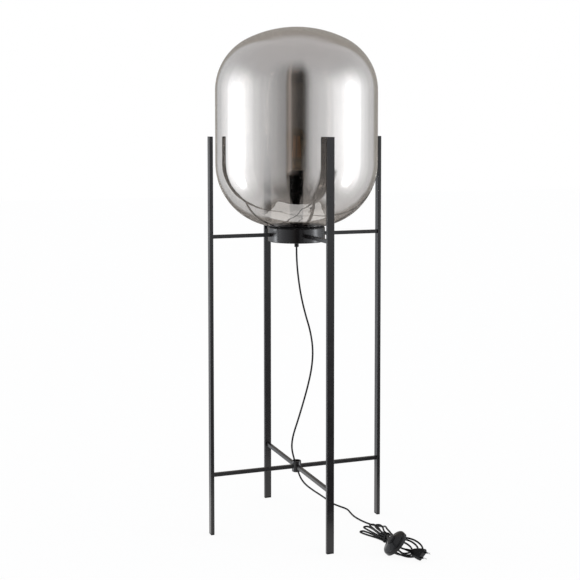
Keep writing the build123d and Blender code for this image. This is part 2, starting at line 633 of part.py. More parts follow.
def cover_side(inset):
    """One face of the switch's domed cover, from its rim to the button's hole."""
    rim, edge = SWITCH_RADIUS - inset, (SWITCH_RADIUS - 4 - 0.7 * inset, SWITCH_RIM_HEIGHT + 5.5 - 0.7 * inset)
    Line((rim, 0), (rim, SWITCH_RIM_HEIGHT))
    shoulder = TangentArc((rim, SWITCH_RIM_HEIGHT), edge, tangent=(0, 1))
    TangentArc(edge, (BUTTON_HOLE, SWITCH_HEIGHT - inset), tangent=shoulder % 1)


with BuildPart() as switch_cover:
    with BuildSketch(SWITCH_SECTION):
        with BuildLine():
            cover_side(0)
            cover_side(SWITCH_WALL)
            Line((SWITCH_RADIUS, 0), (SWITCH_RADIUS - SWITCH_WALL, 0))
            Line((BUTTON_HOLE, SWITCH_HEIGHT), (BUTTON_HOLE, SWITCH_HEIGHT - SWITCH_WALL))
        make_face()
    revolve(axis=SWITCH_SPIN)
    for sign in (1, -1):
        relief_plane, relief_axis = relief_section(sign)
        with BuildSketch(relief_plane):
            with BuildLine():
                Polyline(*relief_profile(0.02), close=True)
            make_face()
        revolve(axis=relief_axis, mode=Mode.SUBTRACT)
save(switch_cover, "switch_cover")

with BuildPart() as switch_reliefs:
    for sign in (1, -1):
        relief_plane, relief_axis = relief_section(sign)
        with BuildSketch(relief_plane):
            with BuildLine():
                Polyline(*relief_profile(), close=True)
            make_face()
        revolve(axis=relief_axis)
save(switch_reliefs, "switch_reliefs")

with BuildPart() as switch_base:
    with BuildSketch(switch_plane(0)):
        Circle(SWITCH_RADIUS - SWITCH_WALL - 0.1)
    extrude(amount=2)
    with BuildSketch(switch_plane(0)):
        Circle(SWITCH_RADIUS - 8)
        Circle(SWITCH_RADIUS - 9.5, mode=Mode.SUBTRACT)
    extrude(amount=0.8, mode=Mode.SUBTRACT)
save(switch_base, "switch_base")

BUTTON_FLANGE_LOW = 12.0
with BuildPart() as switch_mechanism:
    with BuildSketch(switch_plane(2)):
        Rectangle(26, 18)
    extrude(amount=BUTTON_FLANGE_LOW - BUTTON_TRAVEL - 2.6)
    with BuildSketch(switch_plane(2)):
        with GridLocations(18, 24, 2, 2):
            Rectangle(6, 5)
    extrude(amount=3)
save(switch_mechanism, "switch_mechanism")

with BuildPart() as switch_button:
    with BuildSketch(SWITCH_SECTION):
        with BuildLine():
            Polyline((0, BUTTON_TOP), (0, BUTTON_FLANGE_LOW), (15, BUTTON_FLANGE_LOW),
                     (15, BUTTON_FLANGE_LOW + 1.5), (BUTTON_RADIUS, BUTTON_FLANGE_LOW + 1.5),
                     (BUTTON_RADIUS, BUTTON_TOP - 2.5))
            ThreePointArc((BUTTON_RADIUS, BUTTON_TOP - 2.5), (BUTTON_RADIUS - 1.6, BUTTON_TOP - 0.9),
                          (BUTTON_RADIUS - 4, BUTTON_TOP - 0.3))
            Line((BUTTON_RADIUS - 4, BUTTON_TOP - 0.3), (0, BUTTON_TOP))
        make_face()
    revolve(axis=SWITCH_SPIN)
save(switch_button, "switch_button")


# ---------------------------------------------------------------- plug

def plug_plane(back):
    """Plane square to the plug at a distance behind its front face."""
    return Plane(origin=PLUG_FACE - PLUG_AXIS * back, x_dir=PLUG_ACROSS, z_dir=PLUG_AXIS)


with BuildPart() as plug_body:
    for back, width, height, corner in ((0, 35.3, 13.7, 6), (19, 30, 12.6, 6), (PLUG_BODY, 13, 10, 4.8)):
        with BuildSketch(plug_plane(back)):
            RectangleRounded(width, height, corner)
    loft()
    with BuildSketch(plug_plane(PLUG_BODY)):
        Circle(4.4)
    with BuildSketch(plug_plane(PLUG_BODY + PLUG_RELIEF)):
        Circle(3.1)
    loft()
    with BuildSketch(plug_plane(8)):
        with Locations((PIN_SPACING / 2, 0), (-PIN_SPACING / 2, 0)):
            Circle(PIN_RADIUS - 0.4 + 0.02)
    extrude(amount=9, mode=Mode.SUBTRACT)
save(plug_body, "plug_body")

with BuildPart() as plug_pins:
    with BuildSketch(plug_plane(8)):
        with Locations((PIN_SPACING / 2, 0), (-PIN_SPACING / 2, 0)):
            Circle(PIN_RADIUS - 0.4)
    extrude(amount=8 + PIN_SLEEVE)
    with BuildSketch(plug_plane(-PIN_SLEEVE)):
        with Locations((PIN_SPACING / 2, 0), (-PIN_SPACING / 2, 0)):
            Circle(PIN_RADIUS)
    extrude(amount=PIN_LENGTH - PIN_SLEEVE)
    tips = plug_pins.faces().filter_by(GeomType.PLANE).sort_by(Axis((0, 0, 0), PLUG_AXIS))[-2:]
    fillet(tips.edges(), 1.2)
save(plug_pins, "plug_pins")

with BuildPart() as pin_sleeves:
    with BuildSketch(plug_plane(0)):
        with Locations((PIN_SPACING / 2, 0), (-PIN_SPACING / 2, 0)):
            Circle(PIN_RADIUS)
            Circle(PIN_RADIUS - 0.4 + 0.02, mode=Mode.SUBTRACT)
    extrude(amount=PIN_SLEEVE)
save(pin_sleeves, "pin_sleeves")


# ---------------------------------------------------------------- cord from the lamp to the switch

# the hanging stretch sways sideways only, by (sideways, height)
SWAY = Vector(0.938, -0.346, 0)
HANGING = [(0, GRIP_LOW), (0, 760), (3.5, 713), (11.5, 655), (24, 601), (39, 551), (46.5, 500),
           (43.5, 449), (33, 399), (19.5, 349), (4, 297), (-10, 254), (-14.5, 221), (-9, 193), (2.5, 155)]
FALLING = [(13.5, 3, 128), (32, 13, 105), (62, 32, 80), (97, 55.5, 53.5), (127.5, 74.5, 29.5)]
LANDING = [(143.5, 81.8, 16.5), (157.3, 82.2, 9.3), (169.3, 75.9, 4.9), (177.7, 64, 3.3), (179.9, 49, 3)]
ON_FLOOR = [(176.3, 24.5, 3), (173, -10, 3), (178, -49, 3), (187.5, -84, 3.3)]
OVER_HANK = [(196.5, -117, 7), (202, -150, 15.5), (193, -182, 28), (181, -216, 33.5)]

lamp_route = [SWAY * sideways + Vector(0, 0, height) for sideways, height in HANGING]
lamp_route += [Vector(*point) for point in FALLING + LANDING + ON_FLOOR + OVER_HANK]
lamp_route += [LAMP_EXIT + SWITCH_INLINE * 19, LAMP_EXIT]


def bend_radii(route):
    """Radius of the arc at each inner point, as large as its two runs allow."""
    radii = []
    for before, point, after in zip(route, route[1:], route[2:]):
        shorter = min((point - before).length, (after - point).length)
        turn = (point - before).get_angle(after - point)
        radii.append(0.45 * shorter / tan(radians(turn / 2)))
    return radii


lamp_radii = bend_radii(lamp_route)
with BuildPart() as cord_to_switch:
    with BuildLine() as lamp_line:
        FilletPolyline(*lamp_route, radius=lamp_radii)
    with BuildSketch(Plane(origin=lamp_route[0], z_dir=lamp_route[1] - lamp_route[0])):
        Circle(CORD_RADIUS)
    sweep()
save(cord_to_switch, "cord_to_switch")


# ---------------------------------------------------------------- hank from the switch to the plug

def waist_point(along, across, height):
    return WAIST + WAIST_ALONG * along + WAIST_ACROSS * across + Vector(0, 0, height)


def heading(angle, climb=0.0):
    """Direction in the floor's plane, 0 along the waist and 90 across it, with a climb."""
    flat = WAIST_ALONG * cos(radians(angle)) + WAIST_ACROSS * sin(radians(angle))
    return (flat + Vector(0, 0, climb)).normalized()


# the hank's near end fans out in flat fingers: tip (along, across), half width, height, lean
FINGERS = [((-80, 27), 9, 20.0, 20),
           ((-104, 24), 8, 14.2, 12),
           ((-113, 9), 8, 8.4, 3),
           ((-101, -13), 7.5, 2.6, -9)]
# its far end opens in wide loops: three points each (along, across, height)
RINGS = [((66, 54, 12), (130, -1, 2.6), (112, -42, 12)),
         ((56, 47, 8), (115, -3, 2.6), (87.6, -38.6, 6.4)),
         ((50, 32, 5), (100, -5, 2.6), (60.7, -11.8, 2.8))]


def finger_stations(tip, half_width, height, lean):
    """Three places round a finger's end, each with the cord's direction there."""
    out_along, out_across = -cos(radians(lean)), sin(radians(lean))
    base = (tip[0] - out_along * half_width, tip[1] - out_across * half_width)
    sides = [(base[0] - sign * out_across * half_width, base[1] + sign * out_along * half_width)
             for sign in (1, -1)]
    first, last = sorted(sides, key=lambda side: side[1])
    out = degrees(atan2(out_across, out_along))
    return [(waist_point(*first, height), heading(out)),
            (waist_point(*tip, height), heading(out - 90)),
            (waist_point(*last, height), heading(out + 180))]


def hank_stations():
    """Places that the wound cord passes, each with its direction there."""
    stations = [(HANK_EXIT, SWITCH_INLINE), (HANK_EXIT + SWITCH_INLINE * 2 * CORD_RADIUS, SWITCH_INLINE)]
    for loop in range(HANK_LOOPS):
        layer = HANK_LOOPS - 1 - loop
        height = STRAND_LOW + layer * STRAND_STEP
        lean = 2 * layer - 3
        stations.append((waist_point(0, lean - STRAND_STEP / 2, height), heading(180)))
        stations += finger_stations(*FINGERS[loop])
        stations.append((waist_point(0, lean + STRAND_STEP / 2, height), heading(0)))
        if loop < len(RINGS):
            far_side, end, near_side = RINGS[loop]
            stations.append((waist_point(*far_side), heading(0, -0.1)))
            stations.append((waist_point(*end), heading(-90)))
            stations.append((waist_point(*near_side), heading(180)))
    stations.append((waist_point(55, -5, 10), heading(-9, 0.12)))
    stations.append((PLUG_BACK - PLUG_AXIS * 2 * CORD_RADIUS, PLUG_AXIS))
    stations.append((PLUG_BACK, PLUG_AXIS))
    return stations


def biarc_joint(start, start_way, end, end_way):
    """Middle joint of two tangent arcs between two stations, and the direction there."""
    span = end - start
    square = 2 * (1 - start_way.dot(end_way))
    linear = 2 * span.dot(start_way + end_way)
    constant = span.dot(span)
    if square < 1e-9:
        reach = constant / linear
    else:
        reach = (-linear + sqrt(linear * linear + 4 * square * constant)) / (2 * square)
    first_corner, last_corner = start + start_way * reach, end - end_way * reach
    return (first_corner + last_corner) / 2, (last_corner - first_corner).normalized()


stations = hank_stations()
with BuildPart() as cord_hank:
    with BuildLine() as hank_line:
        for (start, start_way), (end, end_way) in zip(stations, stations[1:]):
            off_line = (end - start).normalized().cross(start_way).length + start_way.cross(end_way).length
            if off_line < 1e-6:
                Line(start, end)
            else:
                joint, joint_way = biarc_joint(start, start_way, end, end_way)
                TangentArc(start, joint, tangent=start_way)
                TangentArc(joint, end, tangent=joint_way)
    with BuildSketch(Plane(origin=HANK_EXIT, z_dir=SWITCH_INLINE)):
        Circle(CORD_RADIUS)
    sweep()
save(cord_hank, "cord_hank")

# the tie goes round the eight strands of the waist
TIE_SPARE, TIE_THICKNESS, TIE_WIDTH = 0.3, 1.2, 5.0
with BuildPart() as cord_tie:
    tie_plane = Plane(origin=WAIST - WAIST_ALONG * TIE_WIDTH / 2, x_dir=WAIST_ACROSS, z_dir=WAIST_ALONG)
    top = STRAND_LOW + (HANK_LOOPS - 1) * STRAND_STEP
    low_lean, top_lean = -3, 2 * HANK_LOOPS - 5
    corners = [(low_lean - STRAND_STEP / 2, STRAND_LOW), (low_lean + STRAND_STEP / 2, STRAND_LOW),
               (top_lean + STRAND_STEP / 2, top), (top_lean - STRAND_STEP / 2, top)]
    for spread, how in ((TIE_SPARE + TIE_THICKNESS, Mode.ADD), (TIE_SPARE, Mode.SUBTRACT)):
        with BuildSketch(tie_plane):
            with BuildLine():
                Polyline(*corners, close=True)
            make_face()
            offset(amount=CORD_RADIUS + spread, kind=Kind.ARC)
        extrude(amount=TIE_WIDTH, mode=how)
save(cord_tie, "cord_tie")


# ---------------------------------------------------------------- what the cord measures

def tube_check(name, line, piece):
    length = sum(edge.length for edge in line.edges())
    print(name, "length", round(length), "volume", round(piece.part.volume),
          "section times length", round(pi * CORD_RADIUS ** 2 * length))


def least_gap(line, step=2.0, apart=25.0):
    """Least clear distance between stretches of the tube that are apart along it."""
    points, travelled = [], 0.0
    for edge in line.edges():
        count = max(2, int(edge.length / step))
        points += [(travelled + edge.length * k / count, edge @ (k / count)) for k in range(count)]
        travelled += edge.length
    gap = min((here - there).length for i, (at, here) in enumerate(points)
              for further, there in points[i + 1:] if further - at > apart)
    return gap - 2 * CORD_RADIUS


print("lamp cord radii", [round(radius) for radius in lamp_radii])
tube_check("lamp cord", lamp_line, cord_to_switch)
print("hank radii", [round(edge.radius, 1) for edge in hank_line.edges() if edge.geom_type == GeomType.CIRCLE])
tube_check("hank", hank_line, cord_hank)
print("hank least gap to itself", round(least_gap(hank_line), 2))
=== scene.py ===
"""Looks of the globe floor lamp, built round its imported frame.

Metres, +Z up, the origin on the floor at the middle of the four feet.
"""

from math import cos, degrees, radians, sin, sqrt

import bpy
from mathutils import Euler, Matrix, Vector


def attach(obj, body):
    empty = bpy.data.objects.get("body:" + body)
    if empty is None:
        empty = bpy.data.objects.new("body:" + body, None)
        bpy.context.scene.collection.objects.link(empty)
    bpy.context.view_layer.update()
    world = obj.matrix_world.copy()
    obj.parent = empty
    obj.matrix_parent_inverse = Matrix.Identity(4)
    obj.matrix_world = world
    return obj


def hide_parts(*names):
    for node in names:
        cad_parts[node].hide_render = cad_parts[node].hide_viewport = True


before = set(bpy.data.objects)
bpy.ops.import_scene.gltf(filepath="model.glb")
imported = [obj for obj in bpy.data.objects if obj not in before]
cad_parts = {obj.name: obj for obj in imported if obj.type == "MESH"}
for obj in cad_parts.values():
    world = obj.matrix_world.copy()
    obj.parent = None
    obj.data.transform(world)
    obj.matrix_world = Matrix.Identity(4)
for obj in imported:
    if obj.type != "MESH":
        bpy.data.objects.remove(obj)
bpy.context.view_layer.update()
MM = 0.001


def linked(thing):
    """An object, once it is in the scene."""
    bpy.context.scene.collection.objects.link(thing)
    return thing


# ---------------------------------------------------------------- camera

IMAGE_SIDE = 580
SENSOR = 36.0
FOCAL_PIXELS = 1171.3
NEAREST, FARTHEST = 0.05, 60
AXIS_ROW = 194.3
CAMERA_PLACE = (-1.1459, -3.0578, 1.1258)
CAMERA_AZIMUTH, CAMERA_PITCH, CAMERA_ROLL = 20.224, 3.326, -0.027


def add_camera():
    """Camera at the photograph's place, its frame shifted down to take in the feet."""
    data = bpy.data.cameras.new("camera")
    data.sensor_width = SENSOR
    data.lens = FOCAL_PIXELS / IMAGE_SIDE * SENSOR
    data.shift_y = (AXIS_ROW - IMAGE_SIDE / 2) / IMAGE_SIDE
    data.clip_start, data.clip_end = NEAREST, FARTHEST
    camera = linked(bpy.data.objects.new("camera", data))
    level = Euler((radians(90 - CAMERA_PITCH), 0, radians(-CAMERA_AZIMUTH))).to_matrix()
    camera.matrix_world = (level @ Matrix.Rotation(radians(CAMERA_ROLL), 3, "Z")).to_4x4()
    camera.location = CAMERA_PLACE
    bpy.context.scene.camera = camera


add_camera()


# ---------------------------------------------------------------- shader nodes

def add_node(owner, kind, **settings):
    """Node in the tree of a material or of the world."""
    node = owner.node_tree.nodes.new(kind)
    for key, value in settings.items():
        setattr(node, key, value)
    return node


def link(owner, source, target):
    owner.node_tree.links.new(source, target)


def fill(owner, target, value):
    """A socket takes the value of another socket, a plain colour or a plain number."""
    if isinstance(value, bpy.types.NodeSocket):
        link(owner, value, target)
    elif isinstance(value, tuple):
        target.default_value = (*value, 1)
    else:
        target.default_value = value


def maths(owner, operation, *values):
    """Result of one sum on sockets or plain numbers."""
    node = add_node(owner, "ShaderNodeMath", operation=operation)
    for target, value in zip(node.inputs, values):
        fill(owner, target, value)
    return node.outputs[0]


def ranged(owner, value, reach, aim, interpolation="LINEAR"):
    """A value's reach taken to its aim, each given by its two ends."""
    node = add_node(owner, "ShaderNodeMapRange", interpolation_type=interpolation)
    for name, end in zip(("From Min", "From Max", "To Min", "To Max"), (*reach, *aim)):
        node.inputs[name].default_value = end
    link(owner, value, node.inputs["Value"])
    return node.outputs["Result"]


def blended(owner, factor, first, second):
    """Colour between two, each a socket or a plain colour."""
    mix = add_node(owner, "ShaderNodeMix", data_type="RGBA")
    for name, value in (("Factor", factor), ("A", first), ("B", second)):
        fill(owner, mix.inputs[name], value)
    return mix.outputs["Result"]


def mixed_shader(owner, factor, first, second):
    """One shader at factor 0 and the other at factor 1."""
    mix = add_node(owner, "ShaderNodeMixShader")
    for target, source in zip(mix.inputs, (factor, first, second)):
        link(owner, source, target)
    return mix.outputs["Shader"]


# ---------------------------------------------------------------- materials

NOISE_REACH = (0.3, 0.7)


def principled(material):
    return material.node_tree.nodes["Principled BSDF"]


def new_material(name, roughness, metallic=0.0, **sockets):
    """Material with one principled shader, and what is the same all over set on it."""
    material = bpy.data.materials.new(name)
    material.use_nodes = True
    shader = principled(material)
    shader.inputs["Roughness"].default_value = roughness
    shader.inputs["Metallic"].default_value = metallic
    for socket, value in sockets.items():
        shader.inputs[socket.replace("_", " ")].default_value = value
    return material


def noise(material, scale, detail=3.0):
    """Noise in the piece's own space; scale is in waves a metre."""
    place = add_node(material, "ShaderNodeTexCoord")
    texture = add_node(material, "ShaderNodeTexNoise")
    texture.inputs["Scale"].default_value = scale
    texture.inputs["Detail"].default_value = detail
    link(material, place.outputs["Object"], texture.inputs["Vector"])
    return texture.outputs["Fac"]


def vary_colour(material, factor, low, high):
    """Base colour between two colours as the noise goes."""
    colour = blended(material, ranged(material, factor, NOISE_REACH, (0, 1)), low, high)
    link(material, colour, principled(material).inputs["Base Color"])


def vary_roughness(material, factor, low, high):
    """Roughness between two values as the noise goes."""
    roughness = ranged(material, factor, NOISE_REACH, (low, high))
    link(material, roughness, principled(material).inputs["Roughness"])


def add_bump(material, factor, depth):
    """Relief of a depth in metres."""
    bump = add_node(material, "ShaderNodeBump")
    bump.inputs["Distance"].default_value = depth
    bump.inputs["Strength"].default_value = 1.0
    link(material, factor, bump.inputs["Height"])
    link(material, bump.outputs["Normal"], principled(material).inputs["Normal"])


def scaled(colour, factor):
    return tuple(factor * part for part in colour)


MOULDED_SHINE, MOULDED_PALER, MOULDED_PATCHES = 0.18, 1.35, (-0.05, 0.07)
METAL_DARKER, METAL_PATCHES, METAL_GRAIN, METAL_RELIEF = 0.9, (-0.06, 0.1), 400, 0.000008


def moulded(name, colour, roughness, grain=900, depth=0.00002):
    """Moulded plastic or rubber: fine spark-eroded grain and faint rubbed patches."""
    material = new_material(name, roughness, Specular_IOR_Level=MOULDED_SHINE)
    vary_colour(material, noise(material, 30), colour, scaled(colour, MOULDED_PALER))
    vary_roughness(material, noise(material, 55, detail=5), *[roughness + part for part in MOULDED_PATCHES])
    add_bump(material, noise(material, grain), depth)
    return material


def drawn_metal(name, colour, roughness):
    """Bare or plated metal with fine tool marks."""
    material = new_material(name, roughness, metallic=1.0)
    vary_colour(material, noise(material, 60), scaled(colour, METAL_DARKER), colour)
    marks = noise(material, METAL_GRAIN)
    vary_roughness(material, marks, *[roughness + part for part in METAL_PATCHES])
    add_bump(material, marks, METAL_RELIEF)
    return material


def black_paint():
    """Satin powder coat over steel: orange-peel relief and slight gloss changes."""
    material = new_material("black_paint", 0.25)
    vary_colour(material, noise(material, 18), (0.0078, 0.006, 0.0066), (0.0098, 0.008, 0.0086))
    vary_roughness(material, noise(material, 60, detail=4), 0.22, 0.28)
    add_bump(material, noise(material, 350, detail=1), 0.000003)
    return material


def end_plug():
    return moulded("end_plug", (0.008, 0.0075, 0.008), 0.5)


def zinc_steel():
    return drawn_metal("zinc_steel", (0.62, 0.63, 0.66), 0.32)


def black_plastic():
    return moulded("black_plastic", (0.012, 0.011, 0.011), 0.45)


def switch_plastic():
    """Glossier moulded cover with faint finger marks."""
    material = new_material("switch_plastic", 0.16, Specular_IOR_Level=0.28)
    vary_colour(material, noise(material, 25), (0.004, 0.004, 0.0045), (0.0065, 0.0065, 0.007))
    vary_roughness(material, noise(material, 90, detail=6), 0.12, 0.22)
    add_bump(material, noise(material, 500), 0.00001)
    return material


def seal_rubber():
    return moulded("seal_rubber", (0.016, 0.016, 0.016), 0.7, grain=600, depth=0.00004)


def brass():
    return drawn_metal("brass", (0.78, 0.57, 0.27), 0.28)


FILM_HEIGHTS, FILM_SHARES = (0.87, 1.09), (0.3, 0.55)


def smoked_glass():
    """Smoked glass under a thin mirror film, which thins out towards the neck."""
    material = new_material("smoked_glass", 0.0, metallic=0.5, IOR=1.46, Transmission_Weight=1.0)
    vary_colour(material, noise(material, 3, detail=1), (0.745, 0.718, 0.693), (0.775, 0.748, 0.723))
    vary_roughness(material, noise(material, 6, detail=2), 0.0, 0.012)
    place = add_node(material, "ShaderNodeTexCoord")
    split = add_node(material, "ShaderNodeSeparateXYZ")
    link(material, place.outputs["Object"], split.inputs["Vector"])
    film = ranged(material, split.outputs["Z"], FILM_HEIGHTS, FILM_SHARES, "SMOOTHSTEP")
    link(material, film, principled(material).inputs["Metallic"])
    return material


def cap_metal():
    return drawn_metal("cap_metal", (0.77, 0.76, 0.74), 0.3)


def cap_insulator():
    return moulded("cap_insulator", (0.012, 0.01, 0.012), 0.12, grain=300, depth=0.00001)


def clear_glass():
    """Thin bulb glass with a faint amber tint."""
    material = new_material("clear_glass", 0.0, IOR=1.45, Transmission_Weight=1.0)
    vary_colour(material, noise(material, 20), (0.86, 0.78, 0.64), (0.92, 0.84, 0.72))
    vary_roughness(material, noise(material, 30), 0.0, 0.02)
    return material


def filament():
    """Amber phosphor over the row of chips, with a faint painted glow as emission; the bulb is not lit."""
    material = new_material("filament", 0.5, Emission_Color=(1.0, 0.42, 0.1, 1), Emission_Strength=0.35)
    vary_colour(material, noise(material, 700), (0.75, 0.34, 0.08), (0.95, 0.5, 0.16))
    add_bump(material, noise(material, 900), 0.00005)
    return material


def support_wire():
    return drawn_metal("support_wire", (0.72, 0.7, 0.66), 0.2)


def cord_sheath():
    """Smooth cable sheath, a little dusty, with extrusion marks too fine to see."""
    return moulded("cord_sheath", (0.0035, 0.0035, 0.004), 0.38, grain=500)


def core_insulation():
    return moulded("core_insulation", (0.1, 0.07, 0.2), 0.4)


def tie_plastic():
    return moulded("tie_plastic", (0.0045, 0.0045, 0.0045), 0.5)


def plug_plastic():
    return moulded("plug_plastic", (0.0045, 0.0045, 0.005), 0.38)


def pin_metal():
    return drawn_metal("pin_metal", (0.8, 0.79, 0.77), 0.16)


FINISHES = (black_paint, end_plug, zinc_steel, black_plastic, switch_plastic, seal_rubber, brass,
            smoked_glass, cap_metal, cap_insulator, clear_glass, filament, support_wire, cord_sheath,
            core_insulation, tie_plastic, plug_plastic, pin_metal)
MATERIALS = {finish.__name__: finish() for finish in FINISHES}


def paint_cad_nodes():
    """Each carried-over node keeps its shape, and its slots take the finish of the same name."""
    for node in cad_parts.values():
        for slot in node.material_slots:
            slot.material = MATERIALS[slot.material.name.split(".")[0]]


paint_cad_nodes()


# ---------------------------------------------------------------- cords

CORD_RADIUS = 2.5 * MM
SWAY = Vector((0.938, -0.346, 0))
HANGING = [(0, 788.5), (0, 760), (3.5, 713), (11.5, 655), (24, 601), (39, 551), (46.5, 500),
           (43.5, 449), (33, 399), (19.5, 349), (4, 297), (-10, 254), (-14.5, 221), (-9, 193), (2.5, 155)]
FALLING = [(13.5, 3, 128), (32, 13, 105), (62, 32, 80), (97, 55.5, 53.5), (127.5, 74.5, 29.5)]
LANDING = [(143.5, 81.8, 16.5), (157.3, 82.2, 9.3), (169.3, 75.9, 4.9), (177.7, 64, 3.3), (179.9, 49, 3)]
ON_FLOOR = [(176.3, 24.5, 3), (173, -10, 3), (178, -49, 3), (187.5, -84, 3.3)]
OVER_HANK = [(196.5, -117, 7), (202, -150, 15.5), (193, -182, 28), (181, -216, 33.5)]

SWITCH_RADIUS, RELIEF_LENGTH, RELIEF_HEIGHT, RELIEF_OFFSET = 36.5, 14.0, 8.0, 6.0
SWITCH_CENTRE = Vector((162.3, -315.6, 26.5))
SWITCH_AXIS = Vector((-0.698, 0.147, 0.701)).normalized()
SWITCH_INLINE = Vector((SWITCH_AXIS.y, -SWITCH_AXIS.x, 0)).normalized()
SWITCH_UP = SWITCH_INLINE.cross(SWITCH_AXIS).normalized()
SWITCH_EXIT = SWITCH_CENTRE + SWITCH_INLINE * (SWITCH_RADIUS + RELIEF_LENGTH) + SWITCH_AXIS * RELIEF_HEIGHT
LAMP_EXIT = SWITCH_EXIT + SWITCH_UP * RELIEF_OFFSET
HANK_EXIT = SWITCH_EXIT - SWITCH_UP * RELIEF_OFFSET
EXIT_RUN = 19

PLUG_AXIS = Vector((0.437, -0.899, 0)).normalized()
PLUG_FRONT, PLUG_LENGTH = Vector((207.0, -381.0, 15.4)), 55
PLUG_BACK = PLUG_FRONT - PLUG_AXIS * PLUG_LENGTH

# The hank's waist, with the bundle along WAIST_ALONG.  A finger is its tip along and across the
# waist, its half width, its height and its lean; a ring is three places along, across and up.
WAIST, WAIST_ANGLE = Vector((175.0, -226.0, 0)), radians(-79)
WAIST_ALONG = Vector((cos(WAIST_ANGLE), sin(WAIST_ANGLE), 0))
WAIST_ACROSS = Vector((-WAIST_ALONG.y, WAIST_ALONG.x, 0))
STRAND_STEP, STRAND_LOW = 5.8, 4.3
STRAND_LEAN, LEAN_STEP = -3, 2
FINGERS = [((-80, 27), 9, 20.0, 20), ((-104, 24), 8, 14.2, 12),
           ((-113, 9), 8, 8.4, 3), ((-101, -13), 7.5, 2.6, -9)]
RINGS = [((66, 54, 12), (130, -1, 2.6), (112, -42, 12)),
         ((56, 47, 8), (115, -3, 2.6), (87.6, -38.6, 6.4)),
         ((50, 32, 5), (100, -5, 2.6), (60.7, -11.8, 2.8))]
RING_SINK = -0.1
TAIL, TAIL_HEADING = (55, -5, 10), (-9, 0.12)
STRAIGHT_END = 5


def waist_point(along, across, height):
    return WAIST + WAIST_ALONG * along + WAIST_ACROSS * across + Vector((0, 0, height))


def heading(angle, climb=0.0):
    """Direction in the floor's plane, 0 along the waist and 90 across it, with a climb."""
    flat = WAIST_ALONG * cos(radians(angle)) + WAIST_ACROSS * sin(radians(angle))
    return (flat + Vector((0, 0, climb))).normalized()


def finger_stations(tip, half_width, height, lean):
    """Three places round a finger's end, each with the cord's direction there."""
    out = 180 - lean
    outward = (cos(radians(out)), sin(radians(out)))
    base = (tip[0] - outward[0] * half_width, tip[1] - outward[1] * half_width)
    sides = [(base[0] - sign * outward[1] * half_width, base[1] + sign * outward[0] * half_width)
             for sign in (1, -1)]
    first, last = sorted(sides, key=lambda side: side[1])
    return [(waist_point(*first, height), heading(out)),
            (waist_point(*tip, height), heading(out - 90)),
            (waist_point(*last, height), heading(out + 180))]


def hank_stations():
    """Places that the wound cord passes, each with its direction there."""
    stations = [(HANK_EXIT, SWITCH_INLINE), (HANK_EXIT + SWITCH_INLINE * STRAIGHT_END, SWITCH_INLINE)]
    for loop, finger in enumerate(FINGERS):
        layer = len(FINGERS) - 1 - loop
        height = STRAND_LOW + layer * STRAND_STEP
        lean = STRAND_LEAN + layer * LEAN_STEP
        stations.append((waist_point(0, lean - STRAND_STEP / 2, height), heading(180)))
        stations += finger_stations(*finger)
        stations.append((waist_point(0, lean + STRAND_STEP / 2, height), heading(0)))
        if loop < len(RINGS):
            far_side, end, near_side = RINGS[loop]
            stations.append((waist_point(*far_side), heading(0, RING_SINK)))
            stations.append((waist_point(*end), heading(-90)))
            stations.append((waist_point(*near_side), heading(180)))
    stations.append((waist_point(*TAIL), heading(*TAIL_HEADING)))
    stations.append((PLUG_BACK - PLUG_AXIS * STRAIGHT_END, PLUG_AXIS))
    stations.append((PLUG_BACK, PLUG_AXIS))
    return stations


PARALLEL = 1e-9


def steering_points(start, start_way, end, end_way):
    """The two points that steer the cord from one station to the next, on their directions."""
    span = end - start
    square = 2 * (1 - start_way.dot(end_way))
    linear = 2 * span.dot(start_way + end_way)
    constant = span.dot(span)
    if square < PARALLEL:
        reach = constant / linear
    else:
        reach = (-linear + sqrt(linear * linear + 4 * square * constant)) / (2 * square)
    return [start + start_way * reach, end - end_way * reach]


def hank_route():
    """Route of the hank: its first and last station, and between them two points a span."""
    stations = hank_stations()
    route = [stations[0][0]]
    for (start, start_way), (end, end_way) in zip(stations, stations[1:]):
        route += steering_points(start, start_way, end, end_way)
    return route + [stations[-1][0]]


ROUND_STEPS, LENGTH_STEPS = 5, 10


def add_cord(name, route, node):
    """One smooth cord along a route in millimetres, in place of its solid."""
    curve = bpy.data.curves.new(name, "CURVE")
    curve.dimensions = "3D"
    curve.bevel_depth = CORD_RADIUS
    curve.bevel_resolution = ROUND_STEPS
    curve.resolution_u = LENGTH_STEPS
    curve.use_fill_caps = True
    spline = curve.splines.new("NURBS")
    spline.points.add(len(route) - 1)
    for point, place in zip(spline.points, route):
        point.co = (*(place * MM), 1)
    spline.order_u = 3
    spline.use_endpoint_u = True
    cord = linked(bpy.data.objects.new(name, curve))
    curve.materials.append(MATERIALS["cord_sheath"])
    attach(cord, "frame")
    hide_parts(node)
    return cord


lamp_route = [SWAY * sideways + Vector((0, 0, height)) for sideways, height in HANGING]
lamp_route += [Vector(point) for point in FALLING + LANDING + ON_FLOOR + OVER_HANK]
lamp_route += [LAMP_EXIT + SWITCH_INLINE * EXIT_RUN, LAMP_EXIT]
lamp_cord = add_cord("lamp_cord", lamp_route, "cord_to_switch")
hank_cord = add_cord("mains_cord_hank", hank_route(), "cord_hank")
